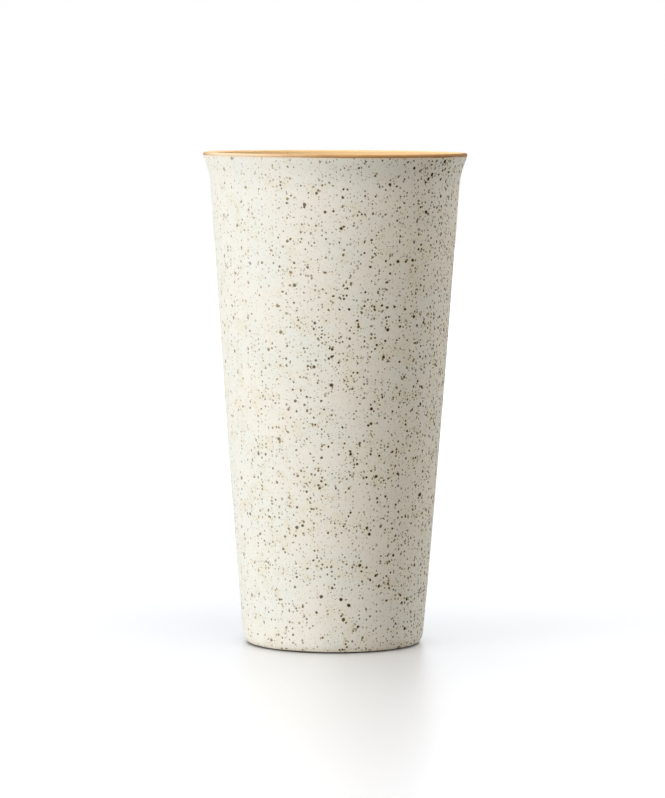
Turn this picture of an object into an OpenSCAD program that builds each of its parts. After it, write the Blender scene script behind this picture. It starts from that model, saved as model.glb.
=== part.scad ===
// Tall stoneware tumbler: a thrown clay body under four coats of glaze.
// The origin is the middle of the footprint on the table, +Z is up, sizes are in millimetres.
// Every layer is turned about the Z axis, and each glaze shares its inner face with the clay.

/* [Overall] */
// Height from the table to the top of the lip
cup_h = 150; // [110:1:190]
// Outside diameter at the widest part of the lip
rim_d = 80.5; // [70:0.1:96]
// Outside diameter of the wall where it would meet the table without its rounded corner
base_d = 54.8; // [46:0.2:62]

/* [Wall] */
// How far the wall bows outwards at mid height
bow = 0.45; // [0:0.05:1.5]
// Wall thickness at the foot, both glazes included
wall_t = 4; // [3:0.1:6]
// Wall thickness at the lip, both glazes included
lip_t = 2.1; // [1.6:0.1:3]
// Floor thickness between the recess and the inside, both glazes included
floor_t = 4.5; // [3:0.1:8]
// Radius of the corner between the floor and the wall inside
floor_round = 7; // [3:0.5:14]

/* [Lip] */
// How far the lip turns out past the line of the wall
flare_out = 1.8; // [0.4:0.1:4]
// Height of the stretch that turns out
flare_h = 17.5; // [10:0.5:30]
// Height of the rounded top edge of the lip
lip_h = 0.55; // [0.4:0.05:1.2]

/* [Foot] */
// How far the outside corner above the table draws in
corner_w = 1.8; // [0.8:0.1:4]
// Height of that corner
corner_h = 3.5; // [2:0.1:8]
// Width of the flat ring that rests on the table
foot_w = 3.7; // [2:0.1:8]
// Radius of the edge between that ring and the recess
foot_edge = 0.8; // [0.3:0.1:1]
// Depth of the recess under the base
recess_h = 3; // [2.4:0.1:5]
// Radius of the corner at the top of the recess
recess_round = 1.2; // [0.4:0.1:1.3]

/* [Glaze] */
// Thickness of every coat of glaze
glaze_t = 0.35; // [0.2:0.05:0.6]
// Height of the bare clay left above the table outside
bare_h = 0.4; // [0.2:0.1:3]
// How far the tan band runs down the outside below the rounded edge
band_out_h = 0.45; // [0.2:0.05:6]
// How far the tan band runs down the inside below the rounded edge
band_in_h = 1.3; // [0.2:0.1:6]

/* [Hidden] */

// Steps in which each stretch of the outline is drawn
facets = 96;
corner_steps = 8;
wall_steps = 14;
flare_steps = 12;
lip_steps = 12;
floor_steps = 8;
recess_steps = 4;
foot_steps = 4;
// How late the flare gathers: a higher power keeps the turn nearer to the lip
flare_pow = 7;

rim_r = rim_d/2;
base_r = base_d/2;
lip_r = lip_t/2;
neck_r = rim_r - flare_out;
lip_z = cup_h - lip_h;
flare_z = lip_z - flare_h;
contact_r = base_r - corner_w;
foot_in_r = contact_r - foot_w;
recess_r = foot_in_r - foot_edge - glaze_t;
recess_corner_z = recess_h - recess_round;
// The glaze in the recess stops halfway down its side
recess_line_z = (recess_corner_z + foot_edge)/2;
floor_z = recess_h + floor_t;
floor_corner_z = floor_z + floor_round;
band_out_z = lip_z - band_out_h;
band_in_z = lip_z - band_in_h;

// Heights at which the walls are drawn, from the table up
corner_zs = [for (i = [0:corner_steps]) corner_h*(1 - cos(90*i/corner_steps))];
wall_zs = [for (i = [1:wall_steps]) corner_h + (flare_z - corner_h)*i/wall_steps];
flare_zs = [for (i = [1:flare_steps]) flare_z + flare_h*i/flare_steps];
zs = concat(corner_zs, wall_zs, flare_zs);
bare_zs = stretch(0, bare_h);
glazed_zs = stretch(bare_h, band_out_z);
band_out_zs = stretch(band_out_z, lip_z);
liner_zs = stretch(floor_corner_z, band_in_z);
band_in_zs = stretch(band_in_z, lip_z);
// Angles around the corners, without the ends that the walls already give
lip_angles = [for (i = [1:lip_steps - 1]) 180*i/lip_steps];
floor_angles = [for (i = [1:floor_steps]) 90*i/floor_steps];
recess_angles = [for (i = [0:recess_steps]) 90*(1 - i/recess_steps)];
foot_angles = [for (i = [0:foot_steps]) 90*i/foot_steps];

function reverse(list) = [for (i = [len(list) - 1:-1:0]) list[i]];

// The drawn heights from lo to hi, with both ends
function stretch(lo, hi) = concat([lo], [for (z = zs) if (z > lo && z < hi) z], [hi]);

// Radius of the wall at height z with its bow, but without the flare
function wall_r(z) = let (share = z/lip_z)
    base_r + (neck_r - base_r)*share + 4*bow*share*(1 - share);

// How far the flare turns the wall out at height z
function flare(z) = let (share = max(0, z - flare_z)/flare_h)
    flare_out*pow(share, flare_pow)*(flare_pow + 1 - flare_pow*share);

// Outside at height z, at a depth under the glazed surface
function outer(z, depth) = let (share = max(0, corner_h - z)/corner_h)
    [wall_r(z) + flare(z) - corner_w + (corner_w - depth)*sqrt(1 - share*share), z];

// Inside at height z, at a depth under the glazed surface
function inner(z, depth) =
    [wall_r(z) + flare(z) - wall_t + (wall_t - lip_t)*z/lip_z + depth, z];

// Corner between the inside wall and the floor, from the wall at 0 to the floor at 90 degrees
function floor_corner(angle, depth) = let (round = floor_round + depth)
    inner(floor_corner_z - round*sin(angle), 0) + [round*cos(angle) - floor_round, 0];

// Rounded edge of the lip, from the outside at 0 to the inside at 180 degrees
function lip(angle, depth) = let (share = 1 - depth/lip_r)
    [rim_r - lip_r + share*lip_r*cos(angle), lip_z + share*lip_h*sin(angle)];

// Corner of the recess, from its side at 0 to its ceiling at 90 degrees
function recess_corner(angle, depth) = let (round = recess_round + depth)
    [recess_r - recess_round + round*cos(angle), recess_corner_z + round*sin(angle)];

// Surfaces at a depth under the glaze, each as a run of points
function outer_run(heights, depth) = [for (z = heights) outer(z, depth)];
function inner_run(heights, depth) = [for (z = heights) inner(z, depth)];
function lip_run(depth) = [for (a = lip_angles) lip(a, depth)];
function floor_run(depth) =
    concat([for (a = floor_angles) floor_corner(a, depth)], [[0, floor_z - depth]]);
function recess_run(depth) = concat(
    [[0, recess_h + depth]],
    [for (a = recess_angles) recess_corner(a, depth)],
    [[recess_r + depth, recess_line_z]]);

// Bare clay from the side of the recess to the flat ring
function foot_run() = [for (a = foot_angles)
    [foot_in_r - foot_edge*cos(a), foot_edge - foot_edge*sin(a)]];

// Surface of each glaze at a depth: 0 is its face, and its thickness is where the clay starts
function band_run(depth) = concat(
    outer_run(band_out_zs, depth), lip_run(depth), reverse(inner_run(band_in_zs, depth)));
function liner_run(depth) = concat(reverse(inner_run(liner_zs, depth)), floor_run(depth));

module turned(points) {
    rotate_extrude($fn = facets) polygon(points);
}

// A coat of glaze between its face and the clay under it
module coat(face, clay) {
    turned(concat(face, reverse(clay)));
}

// Thrown and trimmed clay with its foot ring, all of one piece
module clay_body() {
    color("#a97f55") turned(concat(
        recess_run(glaze_t),
        foot_run(),
        outer_run(bare_zs, glaze_t),
        outer_run(glazed_zs, glaze_t),
        band_run(glaze_t),
        liner_run(glaze_t)));
}

// Speckled cream glaze on the outside, from the bare foot up to the tan band
module outer_glaze() {
    color("#e9e4d6") coat(outer_run(glazed_zs, 0), outer_run(glazed_zs, glaze_t));
}

// Tan glaze over the lip
module rim_band() {
    color("#d8a670") coat(band_run(0), band_run(glaze_t));
}

// Glaze on the inside wall and floor
module liner_glaze() {
    color("#ece7da") coat(liner_run(0), liner_run(glaze_t));
}

// Glaze in the recess under the base
module base_glaze() {
    color("#e4ddcc") coat(recess_run(0), recess_run(glaze_t));
}

clay_body();
outer_glaze();
rim_band();
liner_glaze();
base_glaze();
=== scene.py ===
import math

import bpy
import numpy as np
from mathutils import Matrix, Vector, noise


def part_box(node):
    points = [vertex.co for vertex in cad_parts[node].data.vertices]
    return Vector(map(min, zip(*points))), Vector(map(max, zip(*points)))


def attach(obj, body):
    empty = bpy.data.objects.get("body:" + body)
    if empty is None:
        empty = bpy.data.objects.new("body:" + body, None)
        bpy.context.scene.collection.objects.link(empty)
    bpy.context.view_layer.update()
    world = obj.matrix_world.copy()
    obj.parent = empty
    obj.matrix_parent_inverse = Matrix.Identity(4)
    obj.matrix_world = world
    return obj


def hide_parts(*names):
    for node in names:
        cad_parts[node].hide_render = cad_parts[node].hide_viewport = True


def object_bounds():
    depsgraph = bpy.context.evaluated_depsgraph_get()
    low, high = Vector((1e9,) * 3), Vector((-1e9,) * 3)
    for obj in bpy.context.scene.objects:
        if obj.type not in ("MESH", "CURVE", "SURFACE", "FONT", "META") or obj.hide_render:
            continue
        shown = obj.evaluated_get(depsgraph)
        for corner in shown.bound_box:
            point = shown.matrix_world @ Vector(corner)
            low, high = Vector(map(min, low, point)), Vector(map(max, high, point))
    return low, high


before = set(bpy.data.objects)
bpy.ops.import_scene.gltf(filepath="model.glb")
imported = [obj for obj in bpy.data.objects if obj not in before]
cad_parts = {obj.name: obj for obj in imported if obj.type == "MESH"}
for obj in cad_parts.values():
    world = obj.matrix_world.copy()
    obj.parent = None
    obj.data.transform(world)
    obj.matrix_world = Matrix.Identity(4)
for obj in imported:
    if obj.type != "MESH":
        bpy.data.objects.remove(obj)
cad_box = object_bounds()

# Sizes of the cup in millimetres; the parts read from model.glb give the overall ones
MM = 0.001
CUP_H = cad_box[1].z / MM
RIM_R = cad_box[1].x / MM
BASE_R = 27.4
BOW = 0.45
WALL_T = 4.0
LIP_T = 2.1
LIP_H = 0.55
FLARE_OUT = 1.8
FLARE_H = 17.5
FLARE_POWER = 7
CORNER_W = 1.8
CORNER_H = 3.5
FOOT_W = 3.7
FOOT_EDGE = 0.8
RECESS_ROUND = 1.2
FLOOR_ROUND = 7.0
GLAZE_T = 0.35
BARE_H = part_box("outer_glaze")[0].z / MM
BAND_OUT_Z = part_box("outer_glaze")[1].z / MM
BAND_IN_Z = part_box("liner_glaze")[1].z / MM
FLOOR_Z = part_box("liner_glaze")[0].z / MM + GLAZE_T
RECESS_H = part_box("base_glaze")[1].z / MM - GLAZE_T
RECESS_LINE_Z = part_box("base_glaze")[0].z / MM
LIP_Z = CUP_H - LIP_H
LIP_R = LIP_T / 2
CREST_R = RIM_R - LIP_R
NECK_R = RIM_R - FLARE_OUT
FLARE_Z = LIP_Z - FLARE_H
BEND_Z = FLARE_Z + FLARE_H / 3
CONTACT_R = BASE_R - CORNER_W
FOOT_IN_R = CONTACT_R - FOOT_W
RECESS_R = FOOT_IN_R - FOOT_EDGE - GLAZE_T
FLOOR_CORNER_Z = FLOOR_Z + FLOOR_ROUND
RECESS_CORNER_Z = RECESS_H - RECESS_ROUND

# How finely the cup is turned: columns from the back around, and the steps between its rows
COLUMNS = 288
BACK = math.pi / 2
ANGLES = BACK + np.arange(COLUMNS) * 2 * math.pi / COLUMNS
NEIGHBOURS = [(j, (j + 1) % COLUMNS) for j in range(COLUMNS)]
ROW_H = 0.9
HIDDEN_ROW_H = 5.0
FINE_ROW_H = 0.35
ARC_ROWS = 14
DISC_STEP = 0.1
RING_STEP = 0.08
SHARP_ANGLE = 50.0

# Hand-made unevenness: how many millimetres across it is, its seed, and the circle it is taken round
SWAY_NOISE = (34.0, 3, 30.0)
RIPPLE_NOISE = (5.5, 11, 1.0)
CREST_NOISE = (21.0, 5, RIM_R)
OUTSIDE_NOISE = (3.2, 23, 30.0)
INSIDE_NOISE = (3.2, 29, 26.0)
FLOOR_NOISE = (3.2, 31, 17.0)
GRIT_NOISE = (0.6, 53, 25.0)
FOOT_LINE_NOISE = (7.0, 41, CONTACT_R)
OUT_LINE_NOISE = (7.0, 43, RIM_R)
IN_LINE_NOISE = (7.0, 47, RIM_R)

# How deep each kind goes in millimetres
SWAY = 0.1
RIPPLE = 0.022
CREST_DIP = 0.06
LUMP = 0.018
GRIT = 0.035
FOOT_WANDER = 0.1
OUT_WANDER = 0.13
IN_WANDER = 0.26

# The wall calms down towards the lip, and the line under the band is a little tilted
LIP_CALM = 0.6
CALM_POWER = 4
LINE_TILT = 0.12
LINE_RISE = 0.05
# The outer glaze rolls off at the foot; below it the clay's outer edge is darkened with a painted
# contact shadow
EDGE_ROLL = 0.45
CLAY_SHADE_W = 0.5


# Shape of the turned cup

def wall_r(z):
    share = z / LIP_Z
    return BASE_R + (NECK_R - BASE_R) * share + 4 * BOW * share * (1 - share)


def flare(z):
    share = np.clip(z - FLARE_Z, 0, None) / FLARE_H
    return FLARE_OUT * share**FLARE_POWER * (FLARE_POWER + 1 - FLARE_POWER * share)


def outside_r(z, depth):
    share = np.clip(CORNER_H - z, 0, None) / CORNER_H
    return wall_r(z) + flare(z) - CORNER_W + (CORNER_W - depth) * np.sqrt(1 - share**2)


def inside_r(z, depth):
    return wall_r(z) + flare(z) - WALL_T + (WALL_T - LIP_T) * z / LIP_Z + depth


def wave(kind, z, share=1.0):
    """Smooth noise of a kind, from -1 to 1, over the columns of a row. A share shrinks its circle."""
    size, seed, circle = kind
    r = circle * share
    places = zip(r * np.cos(ANGLES), r * np.sin(ANGLES), np.broadcast_to(z, ANGLES.shape))
    return np.array([noise.noise(Vector(p) / size + Vector((seed, 0, 0))) for p in places])


def sway(z):
    """How far the whole wall leans in at this height, which is never outwards at the lip."""
    inwards = np.clip(z / LIP_Z, 0, 1) ** CALM_POWER
    depth = 1 - LIP_CALM * inwards
    wide = SWAY * (inwards + wave(SWAY_NOISE, z))
    narrow = RIPPLE * (inwards + wave(RIPPLE_NOISE, z))
    return depth * (wide + narrow) / 2


def outside_row(z, depth, lumps=0.0):
    z = np.broadcast_to(z, ANGLES.shape)
    r = outside_r(z, depth) - sway(z)
    return r - lumps * wave(OUTSIDE_NOISE, z) / 2, z


def inside_row(z, depth, lumps=0.0):
    z = np.broadcast_to(z, ANGLES.shape)
    r = inside_r(z, depth) - sway(z)
    return r + lumps * wave(INSIDE_NOISE, z), z


def floor_corner_row(angle, depth, lumps=0.0):
    reach = FLOOR_ROUND + depth
    z = FLOOR_CORNER_Z - reach * math.sin(angle)
    r, _ = inside_row(z, 0, lumps)
    return r + reach * math.cos(angle) - FLOOR_ROUND, z


def lip_row(angle, depth):
    share = 1 - depth / LIP_R
    top = LIP_Z + share * LIP_H * math.sin(angle)
    r = CREST_R + share * LIP_R * math.cos(angle) - sway(LIP_Z)
    dip = CREST_DIP * math.sin(angle) * (1 + wave(CREST_NOISE, 0)) / 2
    return r, top - dip


def even_row(r, z):
    return np.full(COLUMNS, r), z


def recess_row(angle, depth):
    reach = RECESS_ROUND + depth
    r = RECESS_R - RECESS_ROUND + reach * math.cos(angle)
    return even_row(r, RECESS_CORNER_Z + reach * math.sin(angle))


def gritty(row):
    """The row with a sandy relief that only takes clay away."""
    r, z = row
    return r, z + GRIT * (1 + wave(GRIT_NOISE, z)) / 2


def heights(low, high, step):
    """Heights from low to high, close to a step apart, without the two ends."""
    count = max(1, round((high - low) / step))
    return [low + (high - low) * i / count for i in range(1, count)]


def wall_heights(low, high, step):
    """Heights up the wall, closer together in the corner at the foot and in the flare."""
    zs = heights(0, CORNER_H, FINE_ROW_H) + [CORNER_H] + heights(CORNER_H, BEND_Z, step)
    zs += [BEND_Z] + heights(BEND_Z, LIP_Z, FINE_ROW_H * 2)
    return [z for z in zs if low < z < high]


def arc(rows, end=math.pi / 2):
    return [end * i / rows for i in range(rows + 1)]


# Wandering lines where one layer ends and the next begins

FOOT_LINE = BARE_H + FOOT_WANDER * wave(FOOT_LINE_NOISE, 0)
OUT_LINE = BAND_OUT_Z + LINE_RISE - LINE_TILT * np.cos(ANGLES)
OUT_LINE = OUT_LINE + OUT_WANDER * wave(OUT_LINE_NOISE, 0)
IN_LINE = BAND_IN_Z + IN_WANDER * wave(IN_LINE_NOISE, 0)


def near(z, line, mean, reach):
    """A row's height, pulled along with a wandering line near it."""
    pull = np.clip(1 - np.abs(z - mean) / reach, 0, None)
    return z + (line - mean) * pull


def between_lines(z):
    """A row's height outside, pulled along with the line at the foot and the one under the band."""
    return near(near(z, FOOT_LINE, BARE_H, CORNER_H), OUT_LINE, BAND_OUT_Z, CORNER_H)


# Pieces

def turned(name, rows, poles=()):
    """A mesh turned about Z from rows of radius and height, which close in a loop or on two poles."""
    cos, sin = np.cos(ANGLES), np.sin(ANGLES)
    points = [np.stack([r * cos, r * sin, np.broadcast_to(z, cos.shape)], 1) for r, z in rows]
    verts = [tuple(v) for v in np.concatenate(points) * MM]
    last = len(rows) - 1
    faces = []
    for i in range(last if poles else last + 1):
        a, b = i * COLUMNS, (i + 1) % len(rows) * COLUMNS
        faces += [(a + j, a + k, b + k, b + j) for j, k in NEIGHBOURS]
    for pole, row in zip(poles, (0, last)):
        a, tip = row * COLUMNS, len(verts)
        verts.append((0.0, 0.0, pole * MM))
        faces += [(a + j, tip, a + k) if row == 0 else (a + j, a + k, tip) for j, k in NEIGHBOURS]
    mesh = bpy.data.meshes.new(name)
    mesh.from_pydata(verts, [], faces)
    mesh.update()
    mesh.shade_smooth()
    mesh.set_sharp_from_angle(angle=math.radians(SHARP_ANGLE))
    piece = bpy.data.objects.new(name, mesh)
    bpy.context.scene.collection.objects.link(piece)
    return piece


def make_outer_glaze():
    face = []
    for z in [BARE_H] + wall_heights(BARE_H, BAND_OUT_Z, ROW_H) + [BAND_OUT_Z]:
        z = between_lines(z)
        rise = np.clip((z - FOOT_LINE) / EDGE_ROLL, 0, 1)
        depth = GLAZE_T * (1 - np.sqrt(1 - (1 - rise) ** 2))
        fade = np.clip((OUT_LINE - z) / CORNER_H, 0, 1)
        face.append(outside_row(z, depth, LUMP * fade))
    back_zs = [BAND_OUT_Z] + wall_heights(BARE_H, BAND_OUT_Z, HIDDEN_ROW_H)[::-1]
    back = [outside_row(between_lines(z), GLAZE_T) for z in back_zs]
    return turned("outer_glaze_coat", face + back)


def band_rows(depth, step):
    """Rows over the lip, from the line outside to the line inside."""
    out_zs = heights(BAND_OUT_Z, LIP_Z, step)
    in_zs = heights(BAND_IN_Z, LIP_Z, step)[::-1]
    rows = [outside_row(OUT_LINE, depth)]
    rows += [outside_row(near(z, OUT_LINE, BAND_OUT_Z, LIP_Z - BAND_OUT_Z), depth) for z in out_zs]
    rows += [lip_row(a, depth) for a in arc(ARC_ROWS * 2, math.pi)]
    rows += [inside_row(near(z, IN_LINE, BAND_IN_Z, LIP_Z - BAND_IN_Z), depth) for z in in_zs]
    return rows + [inside_row(IN_LINE, depth)]


def make_rim_band():
    step = FINE_ROW_H / 2
    return turned("rim_band_coat", band_rows(0, step) + band_rows(GLAZE_T, step)[::-1])


def liner_rows(depth, step, lumps=0.0):
    """Rows down the inside from the band, round the corner and in over the floor."""
    zs = wall_heights(FLOOR_CORNER_Z, BAND_IN_Z, step)[::-1]
    rows = [inside_row(IN_LINE, depth)]
    rows += [inside_row(near(z, IN_LINE, BAND_IN_Z, CORNER_H), depth, lumps) for z in zs]
    rows += [floor_corner_row(a, depth, lumps) for a in arc(ARC_ROWS)]
    r, z = rows[-1]
    for share in heights(0, 1, DISC_STEP)[::-1]:
        rows.append((r * share, z + lumps * wave(FLOOR_NOISE, 0, share)))
    return rows


def make_liner_glaze():
    face = liner_rows(0, ROW_H, LUMP)[::-1]
    back = liner_rows(GLAZE_T, HIDDEN_ROW_H)
    return turned("liner_glaze_coat", face + back, (FLOOR_Z, FLOOR_Z - GLAZE_T))


def recess_rows(depth):
    """Rows over the ceiling of the recess from its middle, round the corner and down its side."""
    corner = [recess_row(a, depth) for a in arc(ARC_ROWS)][::-1]
    r, z = corner[0]
    disc = [(r * share, z) for share in heights(0, 1, DISC_STEP)]
    side_zs = heights(RECESS_LINE_Z, RECESS_CORNER_Z, FINE_ROW_H / 2)[::-1] + [RECESS_LINE_Z]
    return disc + corner + [even_row(RECESS_R + depth, z) for z in side_zs]


def make_base_glaze():
    rows = recess_rows(0) + recess_rows(GLAZE_T)[::-1]
    return turned("base_glaze_coat", rows, (RECESS_H, RECESS_H + GLAZE_T))


def foot_rows():
    """Bare clay from the side of the recess, round the ring, to the line of the outer glaze."""
    edge = [even_row(FOOT_IN_R - FOOT_EDGE * math.cos(a), FOOT_EDGE - FOOT_EDGE * math.sin(a))
            for a in arc(ARC_ROWS // 2)]
    ring = [even_row(FOOT_IN_R + FOOT_W * share, 0.0) for share in heights(0, 1, RING_STEP)]
    corner = [outside_row(z, GLAZE_T) for z in [0.0] + heights(0, BARE_H, FINE_ROW_H / 4)]
    return edge + [gritty(row) for row in ring] + corner


def make_clay_body():
    hidden_zs = [BARE_H] + wall_heights(BARE_H, BAND_OUT_Z, HIDDEN_ROW_H)
    rows = recess_rows(GLAZE_T) + foot_rows()
    rows += [outside_row(near(z, FOOT_LINE, BARE_H, CORNER_H), GLAZE_T) for z in hidden_zs]
    rows += band_rows(GLAZE_T, FINE_ROW_H)
    rows += liner_rows(GLAZE_T, HIDDEN_ROW_H)[1:]
    return turned("clay_body_fired", rows, (RECESS_H + GLAZE_T, FLOOR_Z - GLAZE_T))


# Looks of the cream glaze, its iron, the tan glaze and the clay

CREAM = (0.90, 0.875, 0.79)
CREAM_COOL = (0.878, 0.88, 0.812)
CREAM_WARM = (0.845, 0.78, 0.595)
CREAM_THIN = (0.80, 0.69, 0.51)
IRON_CORE = (0.042, 0.028, 0.01)
IRON_FRINGE = (0.28, 0.185, 0.055)
IRON_FAINT = (0.35, 0.265, 0.08)
IRON_RUST = (0.36, 0.225, 0.025)
TAN = (0.48, 0.27, 0.12)
TAN_THIN = (0.91, 0.645, 0.355)
# Painted highlight: the colour of the band's outside on its lit -X side
TAN_PAINTED_HIGHLIGHT = (0.90, 0.75, 0.60)
TAN_DARK = (0.30, 0.155, 0.05)
CLAY = (0.37, 0.225, 0.12)
CLAY_PALE = (0.50, 0.33, 0.19)
# Painted contact shadow: near black for the clay's outer edge where it meets the floor
CLAY_PAINTED_SHADE = (0.05, 0.038, 0.026)

# Soft patches: millimetres across, detail and roughness
CLOUD = (16.0, 2.0, 0.5)
DRIFT = (8.0, 2.0, 0.55)
KNOT = (3.6, 1.0, 0.5)
MOTTLE = (1.6, 2.0, 0.6)
DULL = (2.6, 3.0, 0.5)
PEEL = (1.3, 3.0, 0.55)
TAN_CLOUD = (6.0, 3.0, 0.6)
TAN_STRETCH = (1.0, 1.0, 4.0)
CLAY_CLOUD = (5.0, 4.0, 0.6)
GRAIN = (0.35, 2.0, 0.7)
# Frayed edges: how many millimetres the coordinates are pushed, and the patches that push them
CREAM_FRAY = (0.45, (0.6, 1.0, 0.5))
TAN_FRAY = (0.4, (0.6, 1.0, 0.5))
CLAY_FRAY = (0.4, (0.5, 1.0, 0.5))

# Specks: millimetres apart, smallest and largest radius, and how much of the radius is fully dark
DUST = (0.74, 0.12, 0.28, 0.3)
FINE = (1.05, 0.2, 0.48, 0.5)
BIG = (2.7, 0.42, 0.72, 0.55)
TAN_DOTS = (1.4, 0.12, 0.35, 0.3)
CLAY_DOTS = (1.1, 0.12, 0.34, 0.3)
SMALL_POWER = 2.0
DUST_SEEDS = (0.0, 0.37, 0.71, 0.93)
FINE_SEEDS = (0.11, 0.53)
BIG_SEED = 0.29
# The share of places with a speck, the least and the most
DUST_SHARE = (0.6, 1.3)
FINE_SHARE = (0.25, 0.78)
BIG_SHARE = (0.15, 1.0)
DOT_SHARE = 0.5
FULL_CROWD = 1.1

# Ramps: where they start and end, and what they give there when it isn't 0 and 1
CLOUD_RAMP = (0.4, 0.62)
DRIFT_RAMP = (0.38, 0.66, 0.0, 0.55)
KNOT_RAMP = (0.42, 0.68, 0.0, 0.6)
WARM_RAMP = (0.35, FULL_CROWD, 0.0, 0.38)
FOOT_RAMP = (0.0, CORNER_H * 0.8 * MM, 0.4, 0.0)
# Speck strength rises along X: partly a real spread of specks, partly painted sheen fading them on
# the lit -X side
SPECK_SPREAD_AND_SHEEN_RAMP = (-RIM_R * MM, RIM_R * MM, 0.58, 1.45)
BROWNER_SIDE_RAMP = (-RIM_R * 0.65 * MM, RIM_R * MM, 1.0, 0.0)
BROWNER_SIDE_POWER = 2.0
CORE_RAMP = (0.3, 0.85)
EDGE_GAIN = 2.0
DUST_DEPTH = (0.0, 1.0, 0.12, 0.6)
FINE_DEPTH = (0.0, 1.0, 0.5, 1.1)
FINE_RUST = (0.2, 0.9, 1.0, 0.3)
BIG_DEPTH = 0.95
BIG_RUST = (0.1, 0.6, 1.0, 0.0)
BLEED_FRINGE = 0.5
BLEED_RAMP = (-0.25 * MM, 0.3 * MM, 0.0, 0.6)
TAN_CLOUD_RAMP = (0.35, 0.65, -0.08, 0.12)
INSIDE_RAMP = ((CREST_R - 0.2) * MM, (CREST_R + 0.5) * MM, 1.0, 0.0)
# Painted highlight on the lit -X side of the band, stopping short of its left tip, and painted shade
# on its +X side
PAINTED_HIGHLIGHT_SIDE_RAMP = (-RIM_R * MM, 0.0, 0.75, 0.0)
PAINTED_HIGHLIGHT_END_RAMP = (-RIM_R * MM, -RIM_R * 0.86 * MM, 0.1, 1.0)
PAINTED_SHADE_SIDE_RAMP = (RIM_R * 0.6 * MM, RIM_R * MM, 0.0, 0.95)
LOWER_EDGE_FRINGE = 0.3
LOWER_EDGE_RAMP = (0.2 * MM, 0.6 * MM, 0.5, 0.0)
TAN_DOT_DEPTH = (0.0, 1.0, 0.2, 0.7)
CLAY_CLOUD_RAMP = (0.35, 0.68)
GRAIN_RAMP = (0.55, 0.8, 0.0, 0.5)
CLAY_DOT_DEPTH = (0.0, 1.0, 0.3, 0.9)
# Painted contact shadow over the last millimetres of the clay towards its outer edge
CLAY_SHADE_RAMP = ((CONTACT_R - CLAY_SHADE_W) * MM, CONTACT_R * MM, 0.0, 0.85)

# Each cream glaze: how full of specks it is, and how rough
OUTER_GLAZE = (1.0, 0.78)
LINER_GLAZE = (0.55, 0.36)
BASE_GLAZE = (0.8, 0.45)
# Roughness and gloss, and relief as its strength and its millimetres
DULL_RANGE = (0.3, 0.7)
SMOOTHER, ROUGHER = 0.06, 0.07
SPECK_ROUGHER = 0.12
SPECK_SUNK = 0.5
TAN_ROUGHNESS = (0.3, 0.7, 0.5, 0.62)
CLAY_ROUGHNESS = (0.3, 0.7, 0.82, 0.95)
CREAM_SPECULAR, CREAM_RELIEF = 0.08, (0.35, 0.04)
TAN_SPECULAR, TAN_RELIEF = 0.05, (0.3, 0.03)
CLAY_SPECULAR, CLAY_RELIEF = 0.25, (0.7, 0.08)


# Small helpers for shader nodes

def node(tree, kind, values=None, **settings):
    made = tree.nodes.new(kind)
    for key, value in settings.items():
        setattr(made, key, value)
    for key, value in (values or {}).items():
        socket = made.inputs[key]
        if isinstance(value, bpy.types.NodeSocket):
            tree.links.new(value, socket)
        else:
            socket.default_value = value
    return made


def maths(tree, operation, a, b=0.0, clamp=False):
    values = {0: a, 1: b}
    return node(tree, "ShaderNodeMath", values, operation=operation, use_clamp=clamp).outputs[0]


def vectors(tree, operation, values, output="Vector"):
    return node(tree, "ShaderNodeVectorMath", values, operation=operation).outputs[output]


def ramp(tree, value, low, high, to_low=0.0, to_high=1.0, smooth=True):
    kind = "SMOOTHSTEP" if smooth else "LINEAR"
    values = {"Value": value, "From Min": low, "From Max": high, "To Min": to_low, "To Max": to_high}
    return node(tree, "ShaderNodeMapRange", values, interpolation_type=kind).outputs["Result"]


def mixed(tree, share, a, b):
    made = node(tree, "ShaderNodeMix", {0: share}, data_type="RGBA")
    for key, value in ((6, a), (7, b)):
        if isinstance(value, bpy.types.NodeSocket):
            tree.links.new(value, made.inputs[key])
        else:
            made.inputs[key].default_value = (*value, 1.0)
    return made.outputs[2]


def patches(tree, coords, kind, output="Fac"):
    size, detail, roughness = kind
    values = {"Vector": coords, "Scale": 1 / (size * MM), "Detail": detail, "Roughness": roughness}
    return node(tree, "ShaderNodeTexNoise", values).outputs[output]


def along(tree, coords, axis):
    return node(tree, "ShaderNodeSeparateXYZ", {"Vector": coords}).outputs[axis]


def from_axis(tree, coords):
    flat = vectors(tree, "MULTIPLY", {0: coords, 1: (1, 1, 0)})
    return vectors(tree, "LENGTH", {0: flat}, "Value")


def material(name):
    made = bpy.data.materials.new(name)
    made.use_nodes = True
    tree = made.node_tree
    shader = tree.nodes["Principled BSDF"]
    coords = node(tree, "ShaderNodeTexCoord").outputs["Object"]
    return made, tree, shader, coords


def surface(tree, shader, colour, roughness, height, relief, specular):
    """Join a colour, a roughness and a height to the shader."""
    strength, depth = relief
    values = {"Strength": strength, "Distance": depth * MM, "Height": height}
    normal = node(tree, "ShaderNodeBump", values).outputs[0]
    tree.links.new(colour, shader.inputs["Base Color"])
    tree.links.new(roughness, shader.inputs["Roughness"])
    tree.links.new(normal, shader.inputs["Normal"])
    shader.inputs["Specular IOR Level"].default_value = specular


def frayed(tree, coords, fray):
    """Coordinates pushed about a little, so that round specks come out uneven."""
    amount, kind = fray
    push = patches(tree, coords, kind, "Color")
    centred = vectors(tree, "SUBTRACT", {0: push, 1: (0.5, 0.5, 0.5)})
    scaled = vectors(tree, "SCALE", {0: centred, "Scale": amount * MM})
    return vectors(tree, "ADD", {0: coords, 1: scaled})


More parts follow.
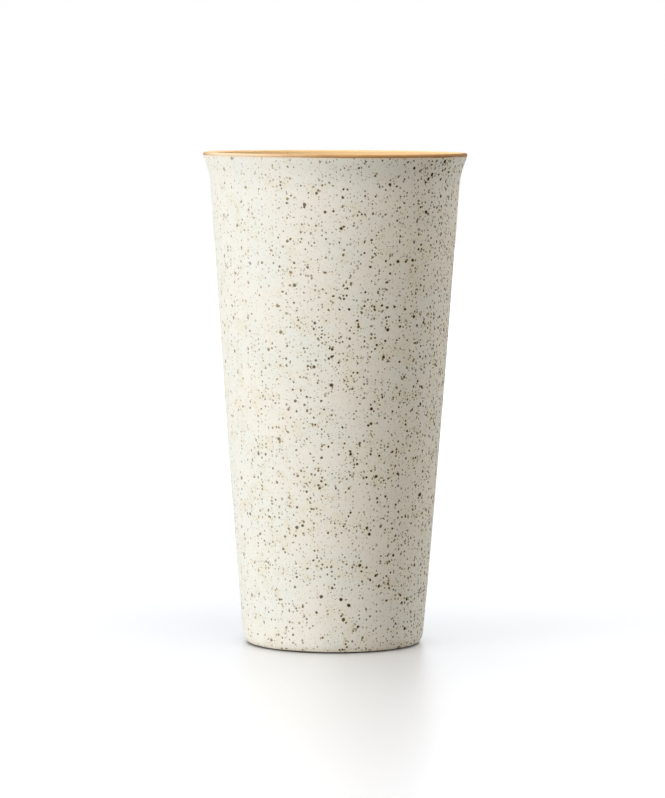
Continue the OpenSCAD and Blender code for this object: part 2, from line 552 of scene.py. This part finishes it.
def specks(tree, coords, kind, share, seed=0.0):
    """Round specks of a kind in a share of the places. It returns where they are and their tone."""
    cell, small, large, full = kind
    moved = vectors(tree, "ADD", {0: coords, 1: (seed, seed, seed)})
    cells = node(tree, "ShaderNodeTexVoronoi", {"Vector": moved, "Scale": 1 / (cell * MM)}).outputs
    tone = node(tree, "ShaderNodeSeparateColor", {"Color": cells["Color"]}).outputs
    size = maths(tree, "POWER", tone[1], SMALL_POWER)
    radius = ramp(tree, size, 0.0, 1.0, small / cell, large / cell, smooth=False)
    core = maths(tree, "MULTIPLY", radius, full)
    inwards = maths(tree, "SUBTRACT", radius, cells["Distance"])
    there = maths(tree, "DIVIDE", inwards, maths(tree, "SUBTRACT", radius, core), clamp=True)
    kept = maths(tree, "LESS_THAN", tone[0], share)
    return maths(tree, "MULTIPLY", there, kept), tone[2]


def dotted(tree, coords, kind, share, depth, colour, dark, seed=0.0):
    """Plain specks over a colour, some of them fainter than others."""
    dots, tone = specks(tree, coords, kind, share, seed)
    return mixed(tree, maths(tree, "MULTIPLY", dots, ramp(tree, tone, *depth)), colour, dark)


def ringed(tree, speck, depth, rust, colour):
    """Specks over a colour, dark in the middle with a brown ring, or rusty all through."""
    edge = maths(tree, "MULTIPLY", speck, EDGE_GAIN, clamp=True)
    edge = maths(tree, "MULTIPLY", edge, depth, clamp=True)
    iron = mixed(tree, ramp(tree, speck, *CORE_RAMP), IRON_FRINGE, IRON_CORE)
    iron = mixed(tree, rust, iron, IRON_RUST)
    return mixed(tree, edge, colour, iron)


def over_line(tree, coords, fringe):
    """Height over the line where the tan glaze ends outside, uneven by up to the fringe's width."""
    tilt = maths(tree, "MULTIPLY", along(tree, coords, "X"), LINE_TILT / RIM_R)
    height = maths(tree, "ADD", along(tree, coords, "Z"), tilt)
    height = maths(tree, "SUBTRACT", height, (BAND_OUT_Z + LINE_RISE) * MM)
    uneven = maths(tree, "MULTIPLY", patches(tree, coords, MOTTLE), fringe * MM)
    return maths(tree, "ADD", height, uneven)


# Materials

def crowding(tree, coords):
    """How closely the specks crowd: in wide drifts, and in small knots."""
    drift = ramp(tree, patches(tree, coords, DRIFT), *DRIFT_RAMP)
    knot = ramp(tree, patches(tree, coords, KNOT), *KNOT_RAMP)
    return maths(tree, "ADD", drift, knot)


def cream_ground(tree, coords, crowd):
    """Cloudy cream, warmer where specks crowd and thinner just over the foot."""
    cloud = patches(tree, coords, CLOUD)
    colour = mixed(tree, ramp(tree, cloud, *CLOUD_RAMP), CREAM, CREAM_COOL)
    colour = mixed(tree, ramp(tree, crowd, *WARM_RAMP), colour, CREAM_WARM)
    return mixed(tree, ramp(tree, along(tree, coords, "Z"), *FOOT_RAMP), colour, CREAM_THIN)


def cream_specks(tree, coords, crowd, amount, colour):
    """Faint dust, small specks and a few big ones: denser and darker towards +X, browner towards -X,
    where their fading is partly painted sheen of the lit side.
    """
    uneven = frayed(tree, coords, CREAM_FRAY)
    across = along(tree, coords, "X")
    # Partly painted sheen: specks fade towards the lit -X side, where there are also really fewer of
    # them
    strength = ramp(tree, across, *SPECK_SPREAD_AND_SHEEN_RAMP, smooth=False)
    # Specks turn browner towards -X
    browner_side = maths(tree, "POWER", ramp(tree, across, *BROWNER_SIDE_RAMP, smooth=False), BROWNER_SIDE_POWER)

    def share(span):
        least, most = span[0] * amount, span[1] * amount
        there = ramp(tree, crowd, 0.0, FULL_CROWD, least, most, smooth=False)
        return maths(tree, "MULTIPLY", strength, there)

    for seed in DUST_SEEDS:
        there = share(DUST_SHARE)
        colour = dotted(tree, uneven, DUST, there, DUST_DEPTH, colour, IRON_FAINT, seed)
    for seed in FINE_SEEDS:
        fine, tone = specks(tree, uneven, FINE, share(FINE_SHARE), seed)
        depth = maths(tree, "MULTIPLY", strength, ramp(tree, tone, *FINE_DEPTH))
        rust = maths(tree, "MULTIPLY", browner_side, ramp(tree, tone, *FINE_RUST))
        colour = ringed(tree, fine, depth, rust, colour)
    big, tone = specks(tree, uneven, BIG, share(BIG_SHARE), BIG_SEED)
    depth = maths(tree, "MULTIPLY", strength, BIG_DEPTH)
    rust = maths(tree, "MULTIPLY", browner_side, ramp(tree, tone, *BIG_RUST))
    return ringed(tree, big, depth, rust, colour), big


def speckled_glaze(name, amount, roughness):
    """Matte cream glaze full of iron specks, into which the tan glaze bleeds at its upper edge."""
    made, tree, shader, coords = material(name)
    crowd = crowding(tree, coords)
    colour = cream_ground(tree, coords, crowd)
    colour, big = cream_specks(tree, coords, crowd, amount, colour)
    bleed = ramp(tree, over_line(tree, coords, BLEED_FRINGE), *BLEED_RAMP)
    colour = mixed(tree, maths(tree, "MULTIPLY", bleed, amount), colour, TAN_THIN)
    dull = patches(tree, coords, DULL)
    dull = ramp(tree, dull, *DULL_RANGE, roughness - SMOOTHER, roughness + ROUGHER)
    dull = maths(tree, "ADD", dull, maths(tree, "MULTIPLY", big, SPECK_ROUGHER))
    sunk = maths(tree, "MULTIPLY", big, SPECK_SUNK)
    height = maths(tree, "SUBTRACT", patches(tree, coords, PEEL), sunk)
    surface(tree, shader, colour, dull, height, CREAM_RELIEF, CREAM_SPECULAR)
    return made


def tan_glaze(name):
    """Honey-tan glaze, thinner and pale inside the crest; outside, its lit side is paler with a
    painted highlight.

    Its shaded side is darker with painted shade, and it is darker along its lower edge.
    """
    made, tree, shader, coords = material(name)
    stretched = node(tree, "ShaderNodeMapping", {"Vector": coords, "Scale": TAN_STRETCH}).outputs[0]
    cloud = patches(tree, stretched, TAN_CLOUD)
    across = along(tree, coords, "X")
    inside = ramp(tree, from_axis(tree, coords), *INSIDE_RAMP)
    outside = maths(tree, "SUBTRACT", 1.0, inside)
    # Painted highlight: the outside of the band turns paler towards -X, the lit side, but not at its
    # tip
    pale = ramp(tree, across, *PAINTED_HIGHLIGHT_SIDE_RAMP)
    pale = maths(tree, "MULTIPLY", pale, ramp(tree, across, *PAINTED_HIGHLIGHT_END_RAMP))
    # Thinner glaze inside the crest, together with the painted highlight outside on the lit side
    thin_and_highlight = maths(tree, "MAXIMUM", inside, pale)
    thin_and_highlight = maths(tree, "ADD", thin_and_highlight, ramp(tree, cloud, *TAN_CLOUD_RAMP), clamp=True)
    colour = mixed(tree, thin_and_highlight, TAN, TAN_THIN)
    colour = mixed(tree, maths(tree, "MULTIPLY", pale, outside), colour, TAN_PAINTED_HIGHLIGHT)
    # Darker tan just over the line where the band ends outside
    lower_edge_dark = ramp(tree, over_line(tree, coords, LOWER_EDGE_FRINGE), *LOWER_EDGE_RAMP)
    lower_edge_dark = maths(tree, "MULTIPLY", lower_edge_dark, maths(tree, "SUBTRACT", 1.0, thin_and_highlight))
    colour = mixed(tree, lower_edge_dark, colour, TAN_DARK)
    uneven = frayed(tree, coords, TAN_FRAY)
    colour = dotted(tree, uneven, TAN_DOTS, DOT_SHARE, TAN_DOT_DEPTH, colour, TAN_DARK)
    # Painted shade: the outside of the band darkens towards +X, the shaded side
    dark = maths(tree, "MULTIPLY", ramp(tree, across, *PAINTED_SHADE_SIDE_RAMP), outside)
    colour = mixed(tree, dark, colour, TAN_DARK)
    dull = ramp(tree, cloud, *TAN_ROUGHNESS)
    surface(tree, shader, colour, dull, patches(tree, coords, MOTTLE), TAN_RELIEF, TAN_SPECULAR)
    return made


def bare_clay(name):
    """Unglazed fired stoneware: sandy, matte and peppered with iron, its outer edge by the floor
    darkened with a painted contact shadow.
    """
    made, tree, shader, coords = material(name)
    cloud = patches(tree, coords, CLAY_CLOUD)
    colour = mixed(tree, ramp(tree, cloud, *CLAY_CLOUD_RAMP), CLAY, CLAY_PALE)
    grain = patches(tree, coords, GRAIN)
    colour = mixed(tree, ramp(tree, grain, *GRAIN_RAMP), colour, CLAY_PALE)
    uneven = frayed(tree, coords, CLAY_FRAY)
    colour = dotted(tree, uneven, CLAY_DOTS, DOT_SHARE, CLAY_DOT_DEPTH, colour, IRON_CORE)
    # Painted contact shadow: the clay turns near black towards its outer edge by the floor
    colour = mixed(tree, ramp(tree, from_axis(tree, coords), *CLAY_SHADE_RAMP), colour, CLAY_PAINTED_SHADE)
    dull = ramp(tree, grain, *CLAY_ROUGHNESS)
    surface(tree, shader, colour, dull, grain, CLAY_RELIEF, CLAY_SPECULAR)
    return made


# Stage

FLOOR_SIDE = 6.0
FLOOR_WHITE = (0.76, 0.78, 0.815, 1.0)
FLOOR_METAL = 0.6
FLOOR_ROUGHNESS = 0.38
# The floor glows for the camera only: faintly beside the foot, which paints a contact shadow there,
# more with the distance, which fades the shadow and reflection away from the cup, and white far off
CONTACT_SHADE_LIFT, FLOOR_LIFT, FAR_LIFT = 0.03, 0.09, 1.0
CONTACT_SHADE_W, FAR_OFF = 9.0, 1.4
GLOW = (0.96, 1.0, 1.14, 1.0)
FILL = (0.045, 0.03, 0.03)
WHITE = (1.0, 1.0, 1.0)
COOL = (0.917, 0.93, 0.95)
WARM = (1.0, 0.92, 0.81)
HONEY = (1.0, 0.94, 0.75)
NO_BOUNCE = 0.5
# Lamps: degrees round from the camera's side, degrees up, metres away, metres across, watts
KEY = (-60.0, 17.5, 2.0, 1.5, 29.7)
FRONT = (27.0, 66.0, 0.68, 0.55, 2.45)
TOP = (0.0, 88.0, 1.6, 1.5, 11.7)
LEFT_BACK = (-140.0, 28.0, 1.6, 1.2, 3.4)
RIGHT_BACK = (130.0, 5.0, 1.6, 0.4, 6.5)


def seen_white(tree):
    """One where the camera looks, straight or by reflections, and zero for light on the cup."""
    path = node(tree, "ShaderNodeLightPath").outputs
    seen = maths(tree, "MAXIMUM", path["Is Camera Ray"], path["Is Glossy Ray"])
    seen = maths(tree, "MAXIMUM", seen, path["Is Transmission Ray"])
    straight = maths(tree, "LESS_THAN", path["Diffuse Depth"], NO_BOUNCE)
    return maths(tree, "MULTIPLY", seen, straight)


def make_world():
    world = bpy.data.worlds.new("studio")
    world.use_nodes = True
    tree = world.node_tree
    colour = mixed(tree, seen_white(tree), FILL, WHITE)
    tree.links.new(colour, tree.nodes["Background"].inputs["Color"])
    bpy.context.scene.world = world


def floor_glow(tree, coords):
    away = vectors(tree, "LENGTH", {0: coords}, "Value")
    # Painted contact shadow: the glow stays low in a ring beside the foot
    close = ramp(tree, away, CONTACT_R * MM, (CONTACT_R + CONTACT_SHADE_W) * MM, CONTACT_SHADE_LIFT, FLOOR_LIFT)
    further = ramp(tree, away, 0.0, FAR_OFF, 0.0, FAR_LIFT - FLOOR_LIFT, smooth=False)
    shown = maths(tree, "MULTIPLY", maths(tree, "ADD", close, further), seen_white(tree))
    return node(tree, "ShaderNodeEmission", {"Color": GLOW, "Strength": shown}).outputs[0]


def make_floor():
    half = FLOOR_SIDE / 2
    corners = [(-half, -half, 0), (half, -half, 0), (half, half, 0), (-half, half, 0)]
    mesh = bpy.data.meshes.new("floor")
    mesh.from_pydata(corners, [], [(0, 1, 2, 3)])
    floor = bpy.data.objects.new("floor", mesh)
    bpy.context.scene.collection.objects.link(floor)
    made, tree, shader, coords = material("white_floor")
    shader.inputs["Base Color"].default_value = FLOOR_WHITE
    shader.inputs["Roughness"].default_value = FLOOR_ROUGHNESS
    shader.inputs["Metallic"].default_value = FLOOR_METAL
    total = node(tree, "ShaderNodeAddShader", {0: shader.outputs[0], 1: floor_glow(tree, coords)})
    tree.links.new(total.outputs[0], tree.nodes["Material Output"].inputs["Surface"])
    mesh.materials.append(made)


def make_lamp(name, lamp, colour=WHITE):
    turn, rise, away, across, watts = lamp
    turn, rise = math.radians(turn), math.radians(rise)
    flat = math.cos(rise)
    towards = Vector((math.sin(turn) * flat, -math.cos(turn) * flat, math.sin(rise)))
    data = bpy.data.lights.new(name, "AREA")
    data.shape = "DISK"
    data.size = across
    data.energy = watts
    data.color = colour
    made = bpy.data.objects.new(name, data)
    made.location = Vector((0, 0, CUP_H * MM / 2)) + towards * away
    made.rotation_euler = towards.to_track_quat("Z", "Y").to_euler()
    bpy.context.scene.collection.objects.link(made)


# Camera: metres from the cup's axis, above the table and aside; degrees down and of roll; its lens
CAMERA_AWAY = 1.2
CAMERA_UP = 0.1712
CAMERA_ASIDE = -0.0009
CAMERA_DOWN = 4.6
CAMERA_ROLL = -0.26
CAMERA_LENS = 177.6
CAMERA_SENSOR = 36.0


def make_camera():
    data = bpy.data.cameras.new("camera")
    data.sensor_fit = "VERTICAL"
    data.sensor_height = CAMERA_SENSOR
    data.lens = CAMERA_LENS
    camera = bpy.data.objects.new("camera", data)
    camera.location = (CAMERA_ASIDE, -CAMERA_AWAY, CAMERA_UP)
    camera.rotation_euler = (math.radians(90 - CAMERA_DOWN), math.radians(CAMERA_ROLL), 0)
    bpy.context.scene.collection.objects.link(camera)
    bpy.context.scene.camera = camera


def dress(piece, node_name, made):
    piece.data.materials.append(made)
    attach(piece, "root")
    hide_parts(node_name)


make_camera()
make_world()
make_floor()
make_lamp("key", KEY, COOL)
make_lamp("front", FRONT, WARM)
make_lamp("top", TOP, HONEY)
make_lamp("left_back", LEFT_BACK)
make_lamp("right_back", RIGHT_BACK)
dress(make_clay_body(), "clay_body", bare_clay("bare_clay"))
dress(make_outer_glaze(), "outer_glaze", speckled_glaze("speckled_glaze", *OUTER_GLAZE))
dress(make_rim_band(), "rim_band", tan_glaze("tan_glaze"))
dress(make_liner_glaze(), "liner_glaze", speckled_glaze("liner_glaze", *LINER_GLAZE))
dress(make_base_glaze(), "base_glaze", speckled_glaze("base_glaze", *BASE_GLAZE))

bpy.context.scene.view_settings.view_transform = "Standard"
